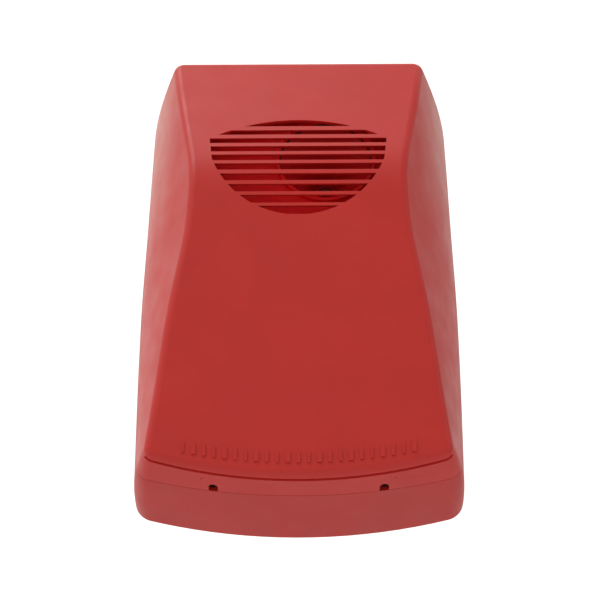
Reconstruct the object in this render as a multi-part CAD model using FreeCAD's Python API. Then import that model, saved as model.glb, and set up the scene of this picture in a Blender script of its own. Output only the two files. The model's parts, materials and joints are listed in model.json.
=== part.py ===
import FreeCAD, Part
import math
import os

# Wall-mounted alarm siren: a wedge-shaped base tray on the wall, a hinged front cover with a
# louvred sound grille, and inside them a horn speaker, a circuit board and a standby battery.
# Millimetres. X runs to the right, the front faces -Y, +Z is up.
# The origin is the centre of the flat rear face, so a "depth" below is a distance along -Y.

# ---- Overall size -------------------------------------------------------------------------
TOP_Z = 150.0
BOTTOM_Z = -150.0
TOP_DRAFT = 0.030            # drop of the top wall per mm of depth
CHIN_DRAFT = 0.1286          # rise of the bottom wall per mm of depth
BOTTOM_SAG = 13.8            # height of the curved bottom edge at the rear
BOTTOM_SAG_LOSS = 0.012      # the curve flattens by this much per mm of depth
TOP_CORNER_RADII = (12.0, 5.8)     # the two upper long corners, at the wall and at the front
LOWER_CORNER_RADII = (12.5, 5.8)   # the two lower ones
FRONT_EDGE_RADIUS = 5.0      # rounding between the front panel and the sides
SMALLEST_RADIUS = 1.0        # rounding kept where an inset would use a radius up
WALL = 3.0
BACK_WALL = 2.8
ROOT = 0.5                   # how far ribs, posts and lips reach into the wall that carries them

# Half widths of the housing at four depths, from the top down. The last row is the lower corner.
SECTION_DEPTHS = (0.0, 30.0, 65.0, 100.0)
SIDE_HEIGHTS = (150.0, 95.0, 45.0, 10.0, -30.0, -85.0)
SIDE_HALF_WIDTHS = (
    (96.5, 98.2, 99.0, 99.3, 99.8, 100.0, 99.3),
    (91.8, 93.4, 95.3, 96.8, 97.8, 98.2, 98.4),
    (82.8, 82.1, 82.2, 83.0, 86.0, 88.6, 91.6),
    (72.5, 67.0, 64.2, 63.8, 67.6, 70.5, 76.0),
)

# Front panel in side view: two flat planes that meet in a soft horizontal ridge.
RIDGE_Z = 54.0
RIDGE_DEPTH = 99.5
UPPER_SLOPE = 0.25
LOWER_SLOPE = 0.157
RIDGE_RADIUS = 80.0

# Parting plane between base and cover: shallow at the top, deep at the chin.
PARTING_DEPTH_TOP = 8.0
PARTING_DEPTH_BOTTOM = 48.0
SEAM_GAP = 0.3

# ---- Cover hinge --------------------------------------------------------------------------
HINGE_DEPTH = 13.5
HINGE_Z = 142.0
COVER_HEEL_RADIUS = 10.3     # rear end of the cover's top wall, round about the hinge
BASE_HEEL_RADIUS = 10.6
HINGE_PIN_RADIUS = 1.5
HINGE_CLEARANCE = 0.05
KNUCKLE_RADIUS = 3.6
BASE_LUG_X = (76.0, 80.0)
COVER_KNUCKLE_X = (80.4, 85.0)
LUG_ANGLE = 245.0            # direction in which the base lug runs down to the back wall

# ---- Sound grille -------------------------------------------------------------------------
SLOT_COUNT = 10
SLOT_TOP_Z = 89.3
SLOT_PITCH = 7.28
SLOT_HEIGHT_TOP = 3.4
SLOT_HEIGHT_BOTTOM = 5.7
SLOT_TILT = 15.0             # slots rise towards the inside so that rain drains out
GRILLE_HALF_WIDTH = 54.7
GRILLE_LOWER_HALF_WIDTH = 52.8
GRILLE_TOP_Z = 93.1
GRILLE_SHOULDER_Z = 76.8
GRILLE_ELBOW_Z = 59.5
GRILLE_BOTTOM_Z = 20.7

# ---- Chin: panel groove, cover screws, decorative ribs --------------------------------------
GROOVE_SETBACK = 3.6
GROOVE_WIDTH = 2.4
GROOVE_DEPTH = 1.3
GROOVE_TOP_Z = -127.0
COVER_SCREW_X = 50.0
NOTCH_WIDTH = 5.4
NOTCH_CENTRE = 3.2           # dome centre of the notch, forward of the seam
NOTCH_FLOOR = 3.6            # the screw head sits on the floor of the notch
SCREW_SEAT = (1.0, 6.0)      # thickening of the cover around each notch
COVER_SCREW_PILOT = 1.7
COVER_SCREW_HEAD = (1.6, 3.4, 2.5)       # outer face, seat, radius
COVER_SCREW_SHANK = (7.8, 1.5)           # length, radius
LUG_HALF_WIDTH = 6.5
LUG_HEIGHTS = (2.0, 6.3, 11.4)           # rear foot, tongue underside, top
RIB_COUNT = 23
RIB_PITCH = 6.1
RIB_WIDTHS = (1.4, 2.8, 2.0)             # repeated along the row
RIB_LENGTH = 6.6
RIB_HEIGHT = 0.9
RIB_RISE = 7.6               # distance of the rib row above the lower edge of the panel

# ---- Horn speaker -------------------------------------------------------------------------
HORN_X = 17.0
HORN_Z = 70.0
HORN_MOUTH_RADIUS = 28.0
HORN_MOUTH_DEPTH = 75.0
HORN_THROAT_RADIUS = 5.5
HORN_WALL = 2.0
BRACKET_DEPTH = 36.0
BRACKET_THICKNESS = 1.5
DRIVER_RADIUS = 23.0
DRIVER_REAR = 12.0
HORN_POST_SPREAD = 36.0
HORN_POST_RADIUS = 4.5
HORN_POST_HOLE = 1.55
HORN_RIM = 3.0               # the mouth rim and the baffle collar stand this far out
HORN_STEPS = 12
THROAT_COLLAR_RADIUS = 17.0
DRIVER_SCREW_CIRCLE = 13.0
DRIVER_SCREW_COUNT = 3
DRIVER_WALL = 2.0
DRIVER_FRONT_PLATE = 3.0
MAGNET_RADII = (18.0, 9.0)
POLE_RADIUS = 6.5
GAP_RADIUS = 7.6             # bore of the top plate around the voice coil
VOICE_COIL_RADII = (7.3, 6.8)

# ---- Baffle behind the grille -----------------------------------------------------------------
BAFFLE_REAR = 76.5
BAFFLE_FRONT = 78.5
BAFFLE_X = (-60.0, 60.0)
BAFFLE_Z = (8.0, 102.0)
BAFFLE_POSTS = ((-53.0, 95.0), (53.0, 95.0), (-53.0, 15.0), (53.0, 15.0))
BAFFLE_BOSS_RADIUS = 4.0

# ---- Circuit board ------------------------------------------------------------------------
BOARD_X = (-84.0, 46.0)
BOARD_Z = (-58.0, 26.0)
BOARD_REAR = 14.4
BOARD_THICKNESS = 1.6
BOARD_FRONT = BOARD_REAR + BOARD_THICKNESS
BOARD_POSTS = ((-78.0, 20.0), (40.0, 20.0), (-78.0, -52.0), (40.0, -52.0))
BOARD_POST_RADIUS = 3.5
TERMINAL_COUNT = 8
TERMINAL_PITCH = 5.0
TERMINAL_X = (34.0, 45.0)
TERMINAL_TOP_Z = 4.0
TERMINAL_DEPTH = 10.0
DIP_COUNT = 4
DIP_PITCH = 2.54
DIP_CENTRE = (2.0, -44.0)
DIP_TRAVEL = 1.4
TRIMMER_CENTRE = (-26.0, -45.0)
TRIMMER_RADIUS = 3.4
TAMPER_CENTRE = (-76.0, -30.0)
TAMPER_TOP = 30.0
TAMPER_TIP = 36.2
WALL_TAMPER_CENTRE = (-76.0, 0.0)
WALL_TAMPER_REAR = 6.0
SWITCH_HALF_SIZE = (3.2, 6.4)
PLUNGER_RADIUS = 1.5
PLUNGER_CLEARANCE = 0.08
CAPACITORS = ((-58.0, 12.0, 6.2, 22.0), (-58.0, -4.0, 6.2, 22.0),    # x, z, radius, height
              (-40.0, 14.0, 4.0, 12.0))
TRANSFORMER_X = (-40.0, -18.0)
TRANSFORMER_Z = (-16.0, 2.0)
TRANSFORMER_HEIGHT = 17.0
TRANSFORMER_WINDOWS = ((-36.0, -31.0), (-27.0, -22.0))
WINDOW_HEIGHT = 13.0
WINDING_OVERHANG = 3.0       # the winding stands out of the core at both ends
CHIP_X = (-2.0, 8.0)
CHIP_Z = (-22.0, -4.0)
CHIP_HEIGHT = 2.4
TRANSISTOR_X = (-66.0, -56.0)
TRANSISTOR_Z = ((-30.0, -25.6), (-44.0, -39.6))
TRANSISTOR_HEIGHT = 14.0
HEAT_SINK_X = (-67.0, -55.0)
HEAT_SINK_Z = (-37.2, -32.8)
HEAT_SINK_HEIGHT = 18.0
FIN_COUNT = 5
FIN_PITCH = 2.4
FIN_THICKNESS = 1.0
FIN_REACH = 2.0
LED_CENTRE = (-8.0, 16.0)
CHIP_PART_COUNT = 6          # small surface parts in each of two rows
CHIP_PART_X = 14.0
CHIP_PART_PITCH = 3.4
CHIP_PART_WIDTH = 1.6
CHIP_PART_ROWS = (((-34.0, -30.8), 0.9), ((-2.0, 1.2), 0.7))         # z range, height
HORN_CONNECTOR = ((12.0, 22.0), (14.0, 20.0))
BATTERY_CONNECTOR = ((-17.0, -7.0), (-55.0, -49.0))
CONNECTOR_HEIGHT = 8.0

# ---- Battery (12 V, 1.2 Ah) -----------------------------------------------------------------
BATTERY_HALF_WIDTH = 48.5
BATTERY_REAR = 4.0
BATTERY_FRONT = 47.0
BATTERY_Z = (-127.0, -75.0)
BATTERY_TERMINAL_X = 36.0
CLAMP_POST_X = 56.0
CLAMP_POST_RADIUS = 3.6
CLAMP_Z = -102.0
CLAMP_HALF_SIZE = (62.0, 6.0)
CLAMP_THICKNESS = 2.0
CLAMP_GAP = 0.3              # between the clamp and the battery
BATTERY_RIB_X = 30.0

# ---- Leads: centre lines as (x, depth, z) -----------------------------------------------------
LEAD_RADIUS = 0.9
BATTERY_LEAD_RED = ((36.0, 14.6, -69.5), (34.0, 19.0, -65.5), (24.0, 22.0, -64.5),
                    (12.0, 23.5, -66.0), (-1.0, 23.0, -66.2), (-7.5, 21.3, -63.8),
                    (-10.0, 20.0, -59.5), (-10.0, 20.0, -55.0))
BATTERY_LEAD_BLACK = ((-36.0, 14.6, -69.5), (-34.0, 19.0, -65.5), (-27.5, 21.5, -65.5),
                      (-20.5, 21.5, -66.0), (-14.0, 20.0, -61.2), (-14.0, 20.0, -55.0))
HORN_LEAD_RED = ((21.0, 20.5, 42.2), (20.5, 21.5, 35.0), (19.5, 21.5, 28.0), (19.0, 20.0, 20.2))
HORN_LEAD_BLACK = ((13.0, 20.5, 42.2), (13.5, 21.5, 35.0), (14.5, 21.5, 28.0), (15.0, 20.0, 20.2))

# ---- Wall fixing and cable entry --------------------------------------------------------------
WALL_HOLE_X = 70.0
WALL_HOLE_Z = (112.0, -100.0)
WALL_HOLE_RADIUS = 2.75
WALL_BOSS_RADIUS = 6.0
WALL_BOSS_TOP = 5.0
RAIN_LEDGE_HALF_WIDTH = 88.0       # shelf under the hinge that sheds water off the back wall
RAIN_LEDGE_TOP = 16.0
RAIN_LEDGE_Z = (127.0, 129.0)
CABLE_ENTRY = (70.0, -30.0)
CABLE_BORE_RADIUS = 4.0
GROMMET_NECK_RADIUS = 9.0
GROMMET_FLANGE_RADIUS = 11.5
GROMMET_RECESS = 2.0         # depth of the pocket for the rear flange
ENTRY_PAD_RADIUS = 15.0
ENTRY_PAD_TOP = 4.6
GROMMET_TOP = 11.0

FAR = 300.0                  # larger than the whole object, for cutting tools
EPS = 0.05                   # clearance between fixed pieces that sit face to face in a hole
SCREW_HOLE = 1.7             # clearance hole for the 3 mm screws
PILOT_HOLE = 1.25            # pilot hole that their threads cut into


# ---- Small tools ----------------------------------------------------------------------------
def at(x, depth, z):
    return FreeCAD.Vector(x, -depth, z)


def block(x_range, depth_range, z_range):
    x0, x1 = x_range
    d0, d1 = depth_range
    z0, z1 = z_range
    return Part.makeBox(x1 - x0, d1 - d0, z1 - z0, at(x0, d1, z0))


def rod(x, z, depth_range, radius):
    """A round bar along the depth direction."""
    d0, d1 = depth_range
    return Part.makeCylinder(radius, d1 - d0, at(x, d0, z), FreeCAD.Vector(0, -1, 0))


def tube(x, z, depth_range, outer, inner):
    return rod(x, z, depth_range, outer).cut(rod(x, z, depth_range, inner))


def cross_rod(x_range, depth, z, radius):
    """A round bar along X."""
    x0, x1 = x_range
    return Part.makeCylinder(radius, x1 - x0, at(x0, depth, z), FreeCAD.Vector(1, 0, 0))


def side_prism(points, x_range):
    """A prism along X from a closed outline of (depth, z) points."""
    x0, x1 = x_range
    wire = Part.makePolygon([at(x0, d, z) for d, z in points + [points[0]]])
    return Part.Face(wire).extrude(FreeCAD.Vector(x1 - x0, 0, 0))


def turned(profile, x, z):
    """A body of revolution about the depth direction, from (radius, depth) points."""
    points = [at(x + r, d, z) for r, d in profile + [profile[0]]]
    face = Part.Face(Part.makePolygon(points))
    return face.revolve(at(x, 0, z), FreeCAD.Vector(0, 1, 0), 360)


def mirrored(shape):
    return shape.mirror(FreeCAD.Vector(0, 0, 0), FreeCAD.Vector(1, 0, 0))


def both_sides(shape):
    return [shape, mirrored(shape)]


def fuse(shapes):
    return shapes[0].multiFuse(shapes[1:])


def save(name, shape):
    if isinstance(shape, list):
        shape = Part.makeCompound(shape)
    shape.exportStep("parts/" + name + ".step")


# ---- Housing shape --------------------------------------------------------------------------
def parting_depth(z):
    share = (TOP_Z - z) / (TOP_Z - BOTTOM_Z)
    return PARTING_DEPTH_TOP + share * (PARTING_DEPTH_BOTTOM - PARTING_DEPTH_TOP)


def panel_depth(z):
    """Depth of the front panel on the two planes, without the rounding of the ridge."""
    if z > RIDGE_Z:
        return RIDGE_DEPTH - UPPER_SLOPE * (z - RIDGE_Z)
    return RIDGE_DEPTH - LOWER_SLOPE * (RIDGE_Z - z)


def chin_z(depth):
    return BOTTOM_Z + CHIN_DRAFT * depth


def outline(depth, half_widths, inset):
    """Frontal outline of the housing at one depth: flat top, bowed sides, curved bottom."""
    top = TOP_Z - TOP_DRAFT * depth - inset
    bottom = chin_z(depth) + inset
    corner = bottom + BOTTOM_SAG - BOTTOM_SAG_LOSS * depth
    heights = [top] + list(SIDE_HEIGHTS[1:]) + [corner]
    widths = [w - inset for w in half_widths]
    right = [at(w, depth, z) for w, z in zip(widths, heights)]
    left = [at(-w, depth, z) for w, z in zip(widths, heights)]
    knots = [(heights[0] - z) / (heights[0] - heights[-1]) for z in SIDE_HEIGHTS]
    knots[0] = 0.0
    knots.append(1.0)
    right_side = Part.BSplineCurve()
    right_side.interpolate(Points=right, Parameters=knots)
    left_side = Part.BSplineCurve()
    left_side.interpolate(Points=left, Parameters=knots)
    edges = [
        Part.makeLine(left[0], right[0]),
        right_side.toShape(),
        Part.Arc(right[-1], at(0, depth, bottom), left[-1]).toShape(),
        left_side.toShape(),
    ]
    return Part.Wire(Part.__sortEdges__(edges))


def housing_block(inset):
    """The outer form, or a smaller copy inset by a wall, before the front is shaped."""
    sections = [outline(d, w, inset) for d, w in zip(SECTION_DEPTHS, SIDE_HALF_WIDTHS)]
    solid = Part.makeLoft(sections, True, False)
    for side in (1, -1):
        for level, corner_radii in ((1, TOP_CORNER_RADII), (-1, LOWER_CORNER_RADII)):
            corner = corner_edge(solid, side, level)
            radii = [max(radius - inset, SMALLEST_RADIUS) for radius in corner_radii]
            starts_in_front = corner.valueAt(corner.FirstParameter).y < -1
            if starts_in_front:
                radii.reverse()
            solid = solid.makeFillet(radii[0], radii[1], [corner])
    return solid


def corner_edge(solid, side, level):
    """One of the four long edges of the plain loft, found by the quarter that it lies in."""
    found = []
    for edge in solid.Edges:
        start = edge.valueAt(edge.FirstParameter)
        end = edge.valueAt(edge.LastParameter)
        middle = (start + end) / 2
        runs_in_depth = abs(start.y - end.y) > SECTION_DEPTHS[-1] / 2
        if runs_in_depth and middle.x * side > 0 and middle.z * level > 0:
            found.append(edge)
    return max(found, key=lambda e: abs(e.CenterOfMass.z) + abs(e.CenterOfMass.x))


def panel_cutter(setback):
    """Everything in front of the panel surface, set back by a distance square to it."""
    upper = math.atan(UPPER_SLOPE)
    lower = math.atan(LOWER_SLOPE)
    rise = RIDGE_RADIUS / math.cos((upper + lower) / 2)
    lean = (upper - lower) / 2
    centre_depth = RIDGE_DEPTH - rise * math.cos(lean)
    centre_z = RIDGE_Z - rise * math.sin(lean)
    radius = RIDGE_RADIUS - setback
    start = (centre_depth + radius * math.cos(upper), centre_z + radius * math.sin(upper))
    end = (centre_depth + radius * math.cos(lower), centre_z - radius * math.sin(lower))
    top_z = start[1] + FAR
    bottom_z = end[1] - FAR
    top = at(-FAR, start[0] - UPPER_SLOPE * FAR, top_z)
    bottom = at(-FAR, end[0] - LOWER_SLOPE * FAR, bottom_z)
    edges = [
        Part.makeLine(top, at(-FAR, start[0], start[1])),
        Part.Arc(at(-FAR, start[0], start[1]), at(-FAR, centre_depth + radius, centre_z),
                 at(-FAR, end[0], end[1])).toShape(),
        Part.makeLine(at(-FAR, end[0], end[1]), bottom),
        Part.makeLine(bottom, at(-FAR, FAR, bottom_z)),
        Part.makeLine(at(-FAR, FAR, bottom_z), at(-FAR, FAR, top_z)),
        Part.makeLine(at(-FAR, FAR, top_z), top),
    ]
    return Part.Face(Part.Wire(edges)).extrude(FreeCAD.Vector(2 * FAR, 0, 0))


def housing_body(inset):
    """The closed form with its shaped front panel and rounded front edge."""
    solid = housing_block(inset).cut(panel_cutter(inset))
    panel_edges = front_loop(solid)
    radius = max(FRONT_EDGE_RADIUS - inset, SMALLEST_RADIUS)
    return solid.makeFillet(radius, panel_edges)


def front_loop(solid):
    """Edges between the front panel faces and the sides, top and bottom."""
    panel = [f for f in solid.Faces if faces_forward(f)]
    loop = []
    for face in panel:
        for edge in face.Edges:
            shared = [other for other in panel if any(edge.isSame(e) for e in other.Edges)]
            if len(shared) == 1:
                loop.append(edge)
    return loop


def faces_forward(face):
    u0, u1, v0, v1 = face.ParameterRange
    normal = face.normalAt((u0 + u1) / 2, (v0 + v1) / 2)
    middle = face.CenterOfMass
    return normal.y < -0.9 and middle.y < -30


def cover_zone(gap, heel_radius):
    """Space that belongs to the cover: in front of the parting plane, and its hinge heel."""
    front = side_prism([(parting_depth(FAR) - gap, FAR), (FAR, FAR), (FAR, -FAR),
                        (parting_depth(-FAR) - gap, -FAR)], (-FAR, FAR))
    heel = cross_rod((-FAR, FAR), HINGE_DEPTH, HINGE_Z, heel_radius)
    return front.fuse(heel)


# ---- Front cover ----------------------------------------------------------------------------
def grille_slots():
    shoulder = GRILLE_SHOULDER_Z
    elbow = GRILLE_ELBOW_Z
    edges = [
        Part.Arc(at(-GRILLE_HALF_WIDTH, 0, shoulder), at(0, 0, GRILLE_TOP_Z),
                 at(GRILLE_HALF_WIDTH, 0, shoulder)).toShape(),
        Part.makeLine(at(GRILLE_HALF_WIDTH, 0, shoulder),
                      at(GRILLE_LOWER_HALF_WIDTH, 0, elbow)),
        Part.Arc(at(GRILLE_LOWER_HALF_WIDTH, 0, elbow), at(0, 0, GRILLE_BOTTOM_Z),
                 at(-GRILLE_LOWER_HALF_WIDTH, 0, elbow)).toShape(),
        Part.makeLine(at(-GRILLE_LOWER_HALF_WIDTH, 0, elbow),
                      at(-GRILLE_HALF_WIDTH, 0, shoulder)),
    ]
    field = Part.Face(Part.Wire(edges)).extrude(FreeCAD.Vector(0, -FAR, 0))
    slots = []
    for row in range(SLOT_COUNT):
        share = row / (SLOT_COUNT - 1)
        height = SLOT_HEIGHT_TOP + share * (SLOT_HEIGHT_BOTTOM - SLOT_HEIGHT_TOP)
        z = SLOT_TOP_Z - SLOT_PITCH * row
        depth = panel_depth(z)
        rise = math.tan(math.radians(SLOT_TILT)) * 10
        low = z - height / 2
        high = z + height / 2
        if row == 0:
            high += 2
        points = [(depth + 10, low - rise), (depth + 10, high - rise),
                  (depth - 10, high + rise), (depth - 10, low + rise)]
        slots.append(side_prism(points, (-FAR, FAR)).common(field))
    return slots


def panel_groove(outer):
    """Shallow groove that sets the front panel off from the chin."""
    near = GROOVE_SETBACK
    far = GROOVE_SETBACK + GROOVE_WIDTH
    band = panel_cutter(far).cut(panel_cutter(near))
    low = block((-FAR, FAR), (0, FAR), (-FAR, GROOVE_TOP_Z))
    ring = outer.common(band).common(low)
    return ring.cut(housing_block(GROOVE_DEPTH))


def rib_row():
    """Curved row of small raised ribs along the lower edge of the front panel."""
    ribs = []
    for index in range(RIB_COUNT):
        x = (index - (RIB_COUNT - 1) / 2) * RIB_PITCH
        edge_z = chin_z(panel_depth(BOTTOM_Z)) + BOTTOM_SAG * (x / SIDE_HALF_WIDTHS[0][-1]) ** 2
        low = edge_z + RIB_RISE
        high = low + RIB_LENGTH
        width = RIB_WIDTHS[index % len(RIB_WIDTHS)]
        points = [(panel_depth(low) + RIB_HEIGHT, low), (panel_depth(high) + RIB_HEIGHT, high),
                  (panel_depth(high) - 1, high), (panel_depth(low) - 1, low)]
        ribs.append(side_prism(points, (x - width / 2, x + width / 2)))
    return ribs


def chin_placed(shape, side):
    """Places a shape drawn square to the chin (seam at depth 0, chin surface at z 0)."""
    drop = BOTTOM_SAG * (COVER_SCREW_X / SIDE_HALF_WIDTHS[0][-1]) ** 2
    depth = parting_depth(BOTTOM_Z + drop)
    moved = shape.copy()
    moved.rotate(FreeCAD.Vector(0, 0, 0), FreeCAD.Vector(1, 0, 0),
                 -math.degrees(math.atan(CHIN_DRAFT)))
    moved.translate(at(side * COVER_SCREW_X, depth, chin_z(depth) + drop))
    return moved


def notch(width, z_range):
    z0, z1 = z_range
    radius = width / 2
    slot = block((-radius, radius), (-2, NOTCH_CENTRE), z_range)
    dome = Part.makeCylinder(radius, z1 - z0, at(0, NOTCH_CENTRE, z0))
    return slot.fuse(dome)


def make_front_cover(outer, shell, room):
    cover = shell.common(cover_zone(0, COVER_HEEL_RADIUS))
    additions = []
    for side in (-1, 1):
        additions.append(chin_placed(block((-7, 7), (SEAM_GAP / 2, 11), SCREW_SEAT), side))
    knuckle = cross_rod(COVER_KNUCKLE_X, HINGE_DEPTH, HINGE_Z, KNUCKLE_RADIUS)
    web = block(COVER_KNUCKLE_X, (HINGE_DEPTH - KNUCKLE_RADIUS, HINGE_DEPTH + KNUCKLE_RADIUS),
                (HINGE_Z, HINGE_Z + 6))
    additions += both_sides(knuckle.fuse(web))
    tamper_x, tamper_z = TAMPER_CENTRE
    rib = block((-FAR, tamper_x + 3), (TAMPER_TIP + 0.3, TAMPER_TIP + 14),
                (tamper_z - 3.5, tamper_z + 3.5))
    additions.append(rib.common(housing_block(WALL - 1)))
    for x, z in BAFFLE_POSTS:
        boss = rod(x, z, (BAFFLE_FRONT, FAR), BAFFLE_BOSS_RADIUS)
        additions.append(boss.common(room))
    cover = fuse([cover] + additions + rib_row())
    cuts = grille_slots() + [panel_groove(outer)]
    for side in (-1, 1):
        cuts.append(chin_placed(notch(NOTCH_WIDTH, (-4, NOTCH_FLOOR)), side))
        cuts.append(chin_placed(notch(2 * COVER_SCREW_PILOT, (-4, SCREW_SEAT[1] + 2)), side))
    cuts += both_sides(cross_rod(COVER_KNUCKLE_X, HINGE_DEPTH, HINGE_Z,
                                 HINGE_PIN_RADIUS + HINGE_CLEARANCE))
    for x, z in BAFFLE_POSTS:
        cuts.append(rod(x, z, (BAFFLE_FRONT - 1, BAFFLE_FRONT + 5.5), PILOT_HOLE))
    return cover.cut(cuts)


# ---- Base housing ---------------------------------------------------------------------------
def hinge_lug():
    angle = math.radians(LUG_ANGLE)
    reach = (HINGE_DEPTH - BACK_WALL + 0.5) / -math.cos(angle)
    side_d = KNUCKLE_RADIUS * math.sin(angle)
    side_z = -KNUCKLE_RADIUS * math.cos(angle)
    end = (HINGE_DEPTH + reach * math.cos(angle), HINGE_Z + reach * math.sin(angle))
    points = [(HINGE_DEPTH + side_d, HINGE_Z + side_z), (end[0] + side_d, end[1] + side_z),
              (end[0] - side_d, end[1] - side_z), (HINGE_DEPTH - side_d, HINGE_Z - side_z)]
    arm = side_prism(points, BASE_LUG_X)
    arm = arm.common(block(BASE_LUG_X, (BACK_WALL - 1, FAR), (0, TOP_Z)))
    eye = cross_rod(BASE_LUG_X, HINGE_DEPTH, HINGE_Z, KNUCKLE_RADIUS)
    hole = cross_rod(BASE_LUG_X, HINGE_DEPTH, HINGE_Z, HINGE_PIN_RADIUS + 0.01)
    return arm.fuse(eye).cut(hole)


def post(x, z, depth_range, radius, pilot):
    """A round screw post with a blind pilot hole in its front end."""
    top = depth_range[1]
    return rod(x, z, depth_range, radius).cut(rod(x, z, (top - 9, top), pilot))


def base_lip():
    """Inner lip that stands up inside the rim of the cover."""
    ring = housing_block(WALL + 0.4).cut(housing_block(WALL + 2))
    root = housing_block(WALL - ROOT).cut(housing_block(WALL + 2))
    top = 120.0
    upper = side_prism([(parting_depth(top) - 6, top), (parting_depth(top) + 3, top),
                        (parting_depth(-FAR) + 3, -FAR), (parting_depth(-FAR) - 6, -FAR)],
                       (-FAR, FAR))
    lower = side_prism([(parting_depth(top) - 6, top), (parting_depth(top) - SEAM_GAP, top),
                        (parting_depth(-FAR) - SEAM_GAP, -FAR), (parting_depth(-FAR) - 6, -FAR)],
                       (-FAR, FAR))
    lip = ring.common(upper).fuse(root.common(lower))
    gaps = [chin_placed(block((-9, 9), (-0.3, 12), (-8, 14)), side) for side in (-1, 1)]
    return lip.cut(gaps)


def cover_screw_lug(side):
    """Tongue behind the seam that reaches forward over the notch and takes the cover screw."""
    foot, underside, top = LUG_HEIGHTS
    width = (-LUG_HALF_WIDTH, LUG_HALF_WIDTH)
    root = block(width, (-7, -1.6), (foot, top))
    tongue = block(width, (-2, 2.5 * NOTCH_CENTRE), (underside, top))
    hole = Part.makeCylinder(COVER_SCREW_SHANK[1] + EPS, top, at(0, NOTCH_CENTRE, foot))
    return chin_placed(root.fuse(tongue).cut(hole), side)


def make_base_housing(shell):
    base = shell.cut(cover_zone(SEAM_GAP, BASE_HEEL_RADIUS))
    additions = [base_lip()]
    additions += both_sides(hinge_lug())
    additions += [cover_screw_lug(side) for side in (-1, 1)]
    additions.append(block((-RAIN_LEDGE_HALF_WIDTH, RAIN_LEDGE_HALF_WIDTH),
                           (BACK_WALL - ROOT, RAIN_LEDGE_TOP), RAIN_LEDGE_Z))
    additions += [post(x, z, (BACK_WALL - ROOT, BOARD_REAR), BOARD_POST_RADIUS, PILOT_HOLE)
                  for x, z in BOARD_POSTS]
    for side in (-1, 1):
        additions.append(battery_rib(side * BATTERY_RIB_X))
        for z in WALL_HOLE_Z:
            additions.append(rod(side * WALL_HOLE_X, z, (0, WALL_BOSS_TOP), WALL_BOSS_RADIUS))
    entry_x, entry_z = CABLE_ENTRY
    additions.append(rod(entry_x, entry_z, (0, ENTRY_PAD_TOP), ENTRY_PAD_RADIUS))
    base = fuse([base] + additions)
    cuts = [rod(entry_x, entry_z, (-1, ENTRY_PAD_TOP + 1), GROMMET_NECK_RADIUS),
            rod(entry_x, entry_z, (-1, GROMMET_RECESS), GROMMET_FLANGE_RADIUS + 0.5)]
    for side in (-1, 1):
        for z in WALL_HOLE_Z:
            cuts.append(rod(side * WALL_HOLE_X, z, (-1, WALL_BOSS_TOP + 1), WALL_HOLE_RADIUS))
    tamper_x, tamper_z = WALL_TAMPER_CENTRE
    cuts.append(rod(tamper_x, tamper_z, (-1, BACK_WALL + 1), 2 * PLUNGER_RADIUS))
    return base.cut(cuts)


def make_tall_posts():
    """The tall posts that stand on the back wall, each a solid of its own."""
    for name, centre_x, spread, z, top, radius, hole in (
            ("horn_posts", HORN_X, HORN_POST_SPREAD, HORN_Z, BRACKET_DEPTH, HORN_POST_RADIUS,
             HORN_POST_HOLE),
            ("clamp_posts", 0, CLAMP_POST_X, CLAMP_Z, BATTERY_FRONT + CLAMP_GAP,
             CLAMP_POST_RADIUS, PILOT_HOLE)):
        save(name, [post(centre_x + side * spread, z, (BACK_WALL, top), radius, hole)
                    for side in (-1, 1)])


def battery_rib(x):
    """Rib on the back wall and the chin that carries the battery."""
    top = BATTERY_Z[0] - EPS
    rib = block((x - 1.2, x + 1.2), (BACK_WALL - ROOT, 40), (-FAR, top))
    return rib.common(housing_block(WALL - ROOT))


def round_corners(plate, radius):
    """Rounds the edges of a flat plate that run along the depth direction."""
    corners = [e for e in plate.Edges if abs(e.Vertexes[0].Y - e.Vertexes[1].Y) > 1]
    return plate.makeFillet(radius, corners)


# ---- Baffle behind the grille, and screws -------------------------------------------------------
def make_inner_baffle():
    plate = round_corners(block(BAFFLE_X, (BAFFLE_REAR, BAFFLE_FRONT), BAFFLE_Z), 6)
    collar = rod(HORN_X, HORN_Z, (BAFFLE_REAR, BAFFLE_FRONT + 3), HORN_MOUTH_RADIUS + HORN_RIM)
    holes = [rod(x, z, (0, FAR), SCREW_HOLE) for x, z in BAFFLE_POSTS]
    holes.append(rod(HORN_X, HORN_Z, (0, FAR), HORN_MOUTH_RADIUS + 1))
    return plate.fuse(collar).removeSplitter().cut(holes)


def screw(x, z, seat, length, shank, head, head_height, towards_front=True):
    """A pan-head screw along the depth direction, its head on the seat plane."""
    sign = 1 if towards_front else -1
    heads = sorted((seat, seat + sign * head_height))
    shanks = sorted((seat, seat - sign * length))
    top = rod(x, z, heads, head)
    rim = [e for e in top.Edges if abs(e.CenterOfMass.y + seat) > head_height / 2]
    rim = [e for e in rim if e.Curve.TypeId == "Part::GeomCircle"]
    top = top.makeFillet(head_height * 0.45, rim)
    body = top.fuse(rod(x, z, shanks, shank))
    outer = seat + sign * head_height
    slot = sorted((outer - sign * head_height * 0.5, outer + sign))
    for wide, tall in ((head * 0.55, 0.35), (0.35, head * 0.55)):
        body = body.cut(block((x - wide, x + wide), slot, (z - tall, z + tall)))
    return body


def make_baffle_screws():
    return [screw(x, z, BAFFLE_REAR, 7, 1.2, 2.8, 1.8, towards_front=False)
            for x, z in BAFFLE_POSTS]


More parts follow.
